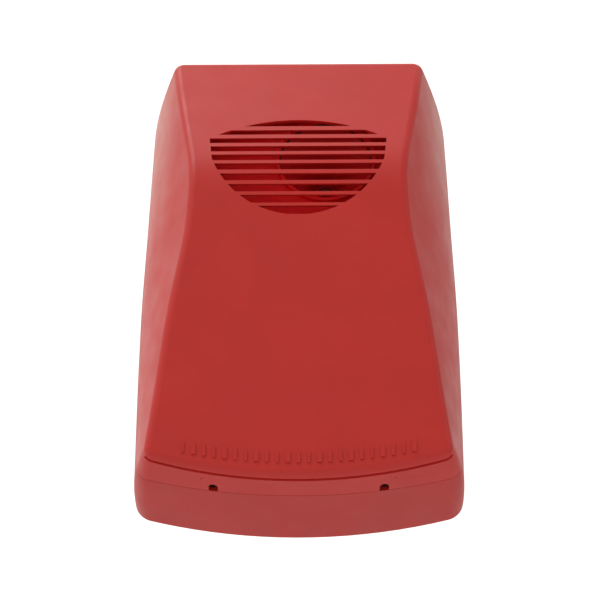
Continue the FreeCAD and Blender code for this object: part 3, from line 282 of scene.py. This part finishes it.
# ---- Detail pieces ---------------------------------------------------------------------------
class Detail:
    """A mesh gathered from bevelled bars, rods, rings and domes, in millimetres (x, depth, z)."""

    def __init__(self):
        self.shape = bmesh.new()

    def bar(self, x, depth, z, bevel=0.0):
        low = Vector((x[0], -depth[1], z[0])) * MM
        high = Vector((x[1], -depth[0], z[1])) * MM
        place = Matrix.Translation((low + high) / 2) @ Matrix.Diagonal((high - low).to_4d())
        corners = bmesh.ops.create_cube(self.shape, size=1.0, matrix=place)["verts"]
        if bevel:
            edges = list({edge for corner in corners for edge in corner.link_edges})
            bmesh.ops.bevel(self.shape, geom=edges, offset=bevel * MM, segments=2, profile=0.6,
                            affect="EDGES")

    def turned(self, centre, profile, axis=(0.0, -1.0, 0.0), segments=28):
        """Turns a closed (radius, height) profile about an axis through a (x, depth, z) point."""
        x, depth, z = centre
        frame_turn = Vector(axis).to_track_quat("Z", "Y").to_matrix().to_4x4()
        place = Matrix.Translation(Vector((x, -depth, z)) * MM) @ frame_turn
        rows = []
        for index in range(segments):
            angle = 2 * math.pi * index / segments
            rows.append([self.shape.verts.new(place @ (Vector((r * math.cos(angle),
                                                               r * math.sin(angle), h)) * MM))
                         for r, h in profile])
        count = len(profile)
        for index, row in enumerate(rows):
            following = rows[(index + 1) % segments]
            for k in range(count):
                after = (k + 1) % count
                self.shape.faces.new((row[k], following[k], following[after], row[after]))

    def ring(self, centre, outer, inner, height, axis=(0.0, -1.0, 0.0)):
        edge = min(0.25 * height, 0.25 * (outer - inner))
        self.turned(centre, [(inner, 0), (outer, 0), (outer, height - edge),
                             (outer - edge, height), (inner + edge, height),
                             (inner, height - edge)], axis)

    def disc(self, centre, radius, height, axis=(0.0, -1.0, 0.0)):
        edge = 0.3 * height
        self.turned(centre, [(0.01, 0), (radius, 0), (radius, height - edge),
                             (radius - edge, height), (0.01, height)], axis)

    def dome(self, centre, radius, height, axis=(0.0, -1.0, 0.0)):
        self.turned(centre, [(0.01, 0), (radius, 0), (0.86 * radius, 0.5 * height),
                             (0.5 * radius, 0.86 * height), (0.01, height)], axis, 16)

    def finish(self, name, body, slot, smooth=True):
        bmesh.ops.remove_doubles(self.shape, verts=self.shape.verts, dist=1e-7)
        bmesh.ops.recalc_face_normals(self.shape, faces=self.shape.faces)
        mesh = bpy.data.meshes.new(name)
        self.shape.to_mesh(mesh)
        self.shape.free()
        mesh.materials.append(materials[slot])
        made = bpy.data.objects.new(name, mesh)
        scene.collection.objects.link(made)
        if smooth:
            mesh.shade_smooth()
            mesh.set_sharp_from_angle(angle=math.radians(35))
        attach(made, body)


def extent(node):
    """The box of a node as millimetre ranges of x, depth and z."""
    return ranges(*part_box(node))


def ranges(low, high):
    x0, y0, z0 = (value / MM for value in low)
    x1, y1, z1 = (value / MM for value in high)
    return (x0, x1), (-y1, -y0), (z0, z1)


def solids_of(node):
    """The box of each separate solid in a node, as ranges of x, depth and z."""
    shape = bmesh.new()
    shape.from_mesh(nodes[node].data)
    bmesh.ops.remove_doubles(shape, verts=shape.verts, dist=1e-6)
    waiting = set(shape.verts)
    boxes = []
    while waiting:
        group = [waiting.pop()]
        for vertex in group:
            for edge in vertex.link_edges:
                other = edge.other_vert(vertex)
                if other in waiting:
                    waiting.remove(other)
                    group.append(other)
        low = [min(v.co[axis] for v in group) for axis in range(3)]
        high = [max(v.co[axis] for v in group) for axis in range(3)]
        boxes.append(ranges(low, high))
    shape.free()
    return sorted(boxes)


def middle(span):
    return (span[0] + span[1]) / 2


def chip_details():
    x, depth, z = extent("controller_chip")
    legs = Detail()
    for index in range(CHIP_LEGS_PER_SIDE):
        at = middle(z) + (index - (CHIP_LEGS_PER_SIDE - 1) / 2) * CHIP_LEG_PITCH
        for side, edge in ((-1, x[0]), (1, x[1])):
            for near, far, low, high in ((0.0, 0.8, 1.1, 1.3), (0.65, 0.85, 0.0, 1.3),
                                         (0.65, 1.6, 0.0, 0.2)):
                across = sorted((edge + side * near, edge + side * far))
                legs.bar(across, (depth[0] + low, depth[0] + high), (at - 0.22, at + 0.22))
    legs.finish("chip_legs", "base", "tinned_brass", smooth=False)
    mark = Detail()
    mark.ring((x[0] + 1.5, depth[1], z[1] - 1.6), 0.7, 0.5, 0.05)
    mark.bar((middle(x) - 1.4, middle(x) + 1.4), (depth[1], depth[1] + 0.06),
             (z[1] - 0.7, z[1] - 0.3), 0.02)
    mark.finish("chip_key_mark", "base", "driver_black")


def small_part_details():
    caps = Detail()
    for x, depth, z in solids_of("small_components"):
        for end, inward in ((z[0], 0.5), (z[1], -0.5)):
            span = sorted((end - 0.12 * math.copysign(1, inward), end + inward))
            caps.bar((x[0] - 0.05, x[1] + 0.05), (depth[0], depth[1] + 0.05), span, 0.06)
            caps.bar((x[0] - 0.3, x[1] + 0.3), (depth[0] - 0.02, depth[0] + 0.06),
                     sorted((end - 1.5 * inward, end + inward)), 0.02)
    caps.finish("chip_part_caps", "base", "tinned_brass")


def capacitor_details():
    tops = Detail()
    bands = Detail()
    for x, depth, z in solids_of("capacitors"):
        centre = (middle(x), depth[1], middle(z))
        radius = (x[1] - x[0]) / 2
        tops.disc(centre, radius - 1.0, 0.08)
        tops.ring(centre, radius - 0.45, radius - 0.95, 0.14)
        front = depth[1] + 0.08
        for wide, tall in ((radius - 1.8, 0.12), (0.12, radius - 1.8)):
            tops.bar((centre[0] - wide, centre[0] + wide), (front - 0.04, front + 0.08),
                     (centre[2] - tall, centre[2] + tall), 0.04)
        bands.ring((centre[0], depth[0] + 1.6, centre[2]), radius + 0.04, radius - 0.3, 0.5)
        for turn in range(-3, 4):
            angle = math.radians(200 + 9 * turn)
            out = radius - 0.02
            at_x = centre[0] + out * math.cos(angle)
            at_z = centre[2] + out * math.sin(angle)
            bands.bar((at_x - 0.3, at_x + 0.3), (depth[0] + 2.5, depth[1] - 1.0),
                      (at_z - 0.3, at_z + 0.3), 0.1)
    tops.finish("capacitor_tops", "base", "zinc_sheet")
    bands.finish("capacitor_bands", "base", "battery_grey")


def board_details():
    pads = Detail()
    for x, depth, z in solids_of("board_screws"):
        pads.ring((middle(x), extent("circuit_board")[1][1], middle(z)), 4.1, 2.95, 0.06)
    for node, reach, count in (("dip_switch_body", 0.7, 4),
                               ("volume_trimmer_body", 0.7, 3)):
        x, depth, z = extent(node)
        for index in range(count):
            at = middle(x) + (index - (count - 1) / 2) * PIN_PITCH
            for edge, side in ((z[0], -1), (z[1], 1)):
                pads.dome((at, depth[0], edge + side * reach), 0.75, 0.5)
                pads.bar((at - 0.25, at + 0.25), (depth[0], depth[0] + 1.4),
                         sorted((edge, edge + side * 0.5)), 0.05)
    x, depth, z = extent("transformer_winding")
    for index in range(4):
        at = x[0] + (index + 0.5) * (x[1] - x[0]) / 4
        for edge, side in ((z[0], -1), (z[1], 1)):
            pads.dome((at, depth[0], edge + side * 1.2), 0.85, 0.6)
            pads.bar((at - 0.3, at + 0.3), (depth[0], depth[0] + 2.6),
                     sorted((edge + side * 0.9, edge + side * 1.5)), 0.08)
    pads.finish("board_pads", "base", "tinned_brass")


def power_details():
    fixings = Detail()
    legs = Detail()
    sink = extent("heat_sink")
    for x, depth, z in solids_of("power_transistors"):
        side = 1 if middle(z) > middle(sink[2]) else -1
        outer = z[1] if side > 0 else z[0]
        fixings.ring((middle(x), depth[1] - 4.0, outer), 2.3, 1.2, 0.3, (0.0, 0.0, side))
        fixings.dome((middle(x), depth[1] - 4.0, outer + side * 0.2), 1.7, 1.1,
                     (0.0, 0.0, side))
        for step in (-PIN_PITCH, 0.0, PIN_PITCH):
            at = middle(x) + step
            legs.bar((at - 0.4, at + 0.4), (depth[0], depth[0] + 2.2),
                     sorted((outer, outer + side * 0.45)), 0.08)
            legs.dome((at, depth[0], outer + side * 0.5), 0.9, 0.5)
    fixings.finish("transistor_fixings", "base", "zinc_screw")
    legs.finish("transistor_legs", "base", "tinned_brass")


def terminal_details():
    x, depth, z = extent("terminal_block")
    ribs = Detail()
    for index in range(TERMINAL_WAYS + 1):
        at = z[0] + index * (z[1] - z[0]) / TERMINAL_WAYS
        low = max(at - 0.25, z[0])
        high = min(at + 0.25, z[1])
        ribs.bar((x[0] + 0.3, x[1] - 2.4), (depth[1] - 0.2, depth[1] + 0.35), (low, high), 0.08)
    ribs.finish("terminal_ribs", "base", "terminal_green")
    latches = Detail()
    for node in ("horn_connector", "battery_connector"):
        x, depth, z = extent(node)
        latches.bar((x[0] - 0.5, x[1] + 0.5), (depth[0], depth[0] + 1.6), (z[0] - 0.4, z[1] - 0.6),
                    0.2)
        for at in (middle(x) - 2.0, middle(x) + 2.0):
            latches.bar((at - 1.0, at + 1.0), (depth[1] - 0.2, depth[1] + 0.4),
                        (z[0] + 0.6, z[1] - 0.8), 0.15)
        latches.bar((middle(x) - 1.6, middle(x) + 1.6), (depth[0] + 2.5, depth[1] - 1.0),
                    (z[0] - 0.7, z[0] + 0.1), 0.2)
    latches.finish("connector_latches", "base", "white_plastic")


def battery_details():
    x, depth, z = extent("battery")
    seam = Detail()
    for low, high, out in ((z[1] - 7.0, z[1] - 6.4, 0.25), (z[1] - 9.2, z[1] - 8.9, 0.15)):
        for side in (0, 1):
            seam.bar(sorted((x[side] - 0.3 * (1 - 2 * side), x[side] - out * (1 - 2 * side))),
                     (depth[0] + 1.5, depth[1] - 1.5), (low, high), 0.05)
        seam.bar((x[0] + 1.5, x[1] - 1.5), (depth[1] - 0.3, depth[1] + out), (low, high), 0.05)
    for index in range(BATTERY_CELLS):
        at = middle(x) + (index - (BATTERY_CELLS - 1) / 2) * BATTERY_CELL_PITCH
        seam.bar((at - 3.6, at + 3.6), (middle(depth) - 2.0, middle(depth) + 10.0),
                 (z[1] - 0.2, z[1] + 0.35), 0.12)
        seam.disc((at, middle(depth) + 4.0, z[1] + 0.3), 2.2, 0.3, (0.0, 0.0, 1.0))
    seam.finish("battery_lid_details", "base", "battery_grey")
    label = Detail()
    label.bar((-33.0, 33.0), (depth[1] - 0.05, depth[1] + 0.08), (z[1] - 18.5, z[1] - 10.5), 0.03)
    label.finish("battery_label", "base", "white_plastic")


def lead_details():
    for colour, side, slot in (("red", 1, "wire_red"), ("black", -1, "wire_black")):
        boot = Detail()
        x, _, z = solids_of("battery_terminals")[1 if side > 0 else 0]
        centre = middle(x)
        boot.bar((centre - 3.1, centre + 3.1), (10.9, 13.1), (z[1] - 5.0, z[1] + 0.4), 0.5)
        direction = Vector((-0.32 * side, -0.70, 0.64))
        boot.turned((centre + 0.5 * side, 13.5, z[1] - 3.0),
                    [(0.95, 0.0), (1.5, 0.0), (1.5, 3.2), (1.15, 4.0), (0.95, 4.0)], direction)
        boot.finish("battery_lead_boot_" + colour, "base", slot)
    for colour, index in (("black", 0), ("red", 1)):
        x, depth, z = solids_of("driver_terminals")[index]
        slot = "wire_" + colour
        sleeve = Detail()
        sleeve.bar((x[0] - 0.4, x[1] + 0.4), (depth[0] - 0.2, depth[1] + 0.2),
                   (z[0] - 0.3, z[0] + 2.2), 0.25)
        sleeve.turned((middle(x), middle(depth), z[0] + 0.2),
                      [(0.92, 0.0), (1.5, 0.0), (1.5, 3.4), (1.1, 4.4), (0.92, 4.4)],
                      (-0.07 if index else 0.07, -0.13, -0.99))
        sleeve.finish("horn_lead_sleeve_" + colour, "base", slot)


def horn_details():
    x, depth, z = extent("horn_flare")
    gasket = Detail()
    gasket.ring((middle(x), depth[1] + 0.05, middle(z)), 30.6, 28.4, 1.3)
    gasket.finish("horn_mouth_gasket", "base", "black_rubber")
    seam = Detail()
    x, depth, z = extent("driver_housing")
    radius = (x[1] - x[0]) / 2
    for at in (depth[0] + 3.0, depth[1] - 2.4, depth[1] - 1.2):
        seam.ring((middle(x), at, middle(z)), radius + 0.25, radius - 0.3, 0.6)
    seam.disc((middle(x), depth[0] + 0.1, middle(z)), radius - 6.0, 0.5, (0.0, 1.0, 0.0))
    seam.finish("driver_rolled_seams", "base", "driver_black")


def cover_details():
    """Stiffening webs on the back of the baffle and ejector marks beside them."""
    x, depth, z = extent("inner_baffle")
    webs = Detail()
    rear = depth[0]
    web_depth = (rear - 0.9, rear + 0.2)
    for at in (-44.0, -30.0):
        webs.bar((at - WEB_HALF_WIDTH, at + WEB_HALF_WIDTH), web_depth,
                 (z[0] + 5.0, z[1] - 5.0), 0.2)
    for at in (z[0] + 12.0, z[0] + 24.0):
        webs.bar((x[0] + 5.0, x[1] - 5.0), web_depth,
                 (at - WEB_HALF_WIDTH, at + WEB_HALF_WIDTH), 0.2)
    for at_x in (-52.0, -37.0, 52.0):
        for at_z in (z[0] + 18.0, z[0] + 46.0, z[1] - 18.0):
            webs.ring((at_x, rear + 0.05, at_z), 2.4, 2.0, 0.15, (0.0, 1.0, 0.0))
    webs.finish("baffle_webs", "cover", "baffle_red")


def base_details():
    """Low stiffening ribs on the inner face of the back wall."""
    ribs = Detail()
    depth = (BACK_WALL_FACE - 0.3, BACK_WALL_FACE + 1.2)
    for at in (-50.0, -36.0, 62.0):
        ribs.bar((at - RIB_HALF_WIDTH, at + RIB_HALF_WIDTH), depth, (32.0, 124.0), 0.25)
    for at in (40.0, 104.0):
        ribs.bar((-78.0, -28.0), depth, (at - RIB_HALF_WIDTH, at + RIB_HALF_WIDTH), 0.25)
    for at in (84.0, -84.0):
        ribs.bar((at - RIB_HALF_WIDTH, at + RIB_HALF_WIDTH), depth, (-96.0, 90.0), 0.25)
    ribs.finish("back_wall_ribs", "base", "base_red")


def make_details():
    for build in (chip_details, small_part_details, capacitor_details, board_details,
                  power_details, terminal_details, battery_details, lead_details, horn_details,
                  cover_details, base_details):
        build()


# ---- Stage -------------------------------------------------------------------------------------
FLOOR_Z = -1.6
CAMERA_ELEVATION = math.radians(-30.0)
CAMERA_AZIMUTH = math.radians(0.5)
CAMERA_DISTANCE = 1.300
CAMERA_TARGET = Vector((0.0, -0.045, -0.0106))

# Direction, where the dimming starts and ends along it, and the brightness left at its end.
WORLD_SHADES = (
    ((0.0, -0.99, -0.05), 0.10, 0.95, 0.55),
    ((1.0, 0.0, 0.0), 0.05, 0.90, 0.45),
    ((-1.0, 0.0, 0.0), 0.35, 0.95, 0.82),
    ((0.0, 0.83, 0.55), 0.80, 0.96, 1.12),
)


def area_light(name, location, size, power):
    """A square soft light aimed at the siren."""
    data = bpy.data.lights.new(name, "AREA")
    data.shape = "SQUARE"
    data.size = size
    data.energy = power
    light = bpy.data.objects.new(name, data)
    light.location = location
    light.rotation_euler = (-Vector(location)).to_track_quat("-Z", "Y").to_euler()
    scene.collection.objects.link(light)


def make_stage():
    bpy.ops.mesh.primitive_plane_add(size=8.0, location=(0.0, 0.0, FLOOR_Z))
    floor = bpy.context.object
    floor.name = "floor"
    shader = Shader("floor_pale", (0.74, 0.74, 0.74), 0.8)
    shader.rough(shader.ranged(shader.noise(3.0), 0.75, 0.85))
    floor.data.materials.append(shader.material)
    make_world()
    area_light("key_above_left", (-1.0, -1.3, 2.0), 1.4, 20.0)
    area_light("fill_right", (1.8, -1.2, 0.3), 1.2, 3.0)


def make_world():
    """White surroundings, brightest behind the siren and dimmer ahead of it and at its sides."""
    world = bpy.data.worlds.new("studio")
    world.use_nodes = True
    tree = world.node_tree
    direction = tree.nodes.new("ShaderNodeTexCoord").outputs["Generated"]
    shades = []
    for axis, start, end, dimmest in WORLD_SHADES:
        along = tree.nodes.new("ShaderNodeVectorMath")
        along.operation = "DOT_PRODUCT"
        along.inputs[1].default_value = axis
        tree.links.new(direction, along.inputs[0])
        shade = tree.nodes.new("ShaderNodeMapRange")
        shade.interpolation_type = "SMOOTHSTEP"
        for name, value in (("From Min", start), ("From Max", end), ("To Min", 1.0),
                            ("To Max", dimmest)):
            shade.inputs[name].default_value = value
        tree.links.new(along.outputs["Value"], shade.inputs["Value"])
        shades.append(shade.outputs["Result"])
    strength = shades[0]
    for shade in shades[1:]:
        product = tree.nodes.new("ShaderNodeMath")
        product.operation = "MULTIPLY"
        tree.links.new(strength, product.inputs[0])
        tree.links.new(shade, product.inputs[1])
        strength = product.outputs["Value"]
    background = tree.nodes["Background"]
    background.inputs["Color"].default_value = (1.09, 1.05, 1.01, 1.0)
    tree.links.new(strength, background.inputs["Strength"])
    scene.world = world


def make_camera():
    data = bpy.data.cameras.new("camera")
    data.sensor_width = 36.0
    data.lens = 126.4
    data.shift_x = 0.0020
    camera = bpy.data.objects.new("camera", data)
    away = Vector((math.sin(CAMERA_AZIMUTH) * math.cos(CAMERA_ELEVATION),
                   -math.cos(CAMERA_AZIMUTH) * math.cos(CAMERA_ELEVATION),
                   math.sin(CAMERA_ELEVATION)))
    camera.location = CAMERA_TARGET + CAMERA_DISTANCE * away
    camera.rotation_euler = (-away).to_track_quat("-Z", "Y").to_euler()
    scene.collection.objects.link(camera)
    scene.camera = camera


scene.view_settings.view_transform = "Standard"
materials = make_materials()
paint_cad_nodes(materials)
make_details()
make_stage()
make_camera()
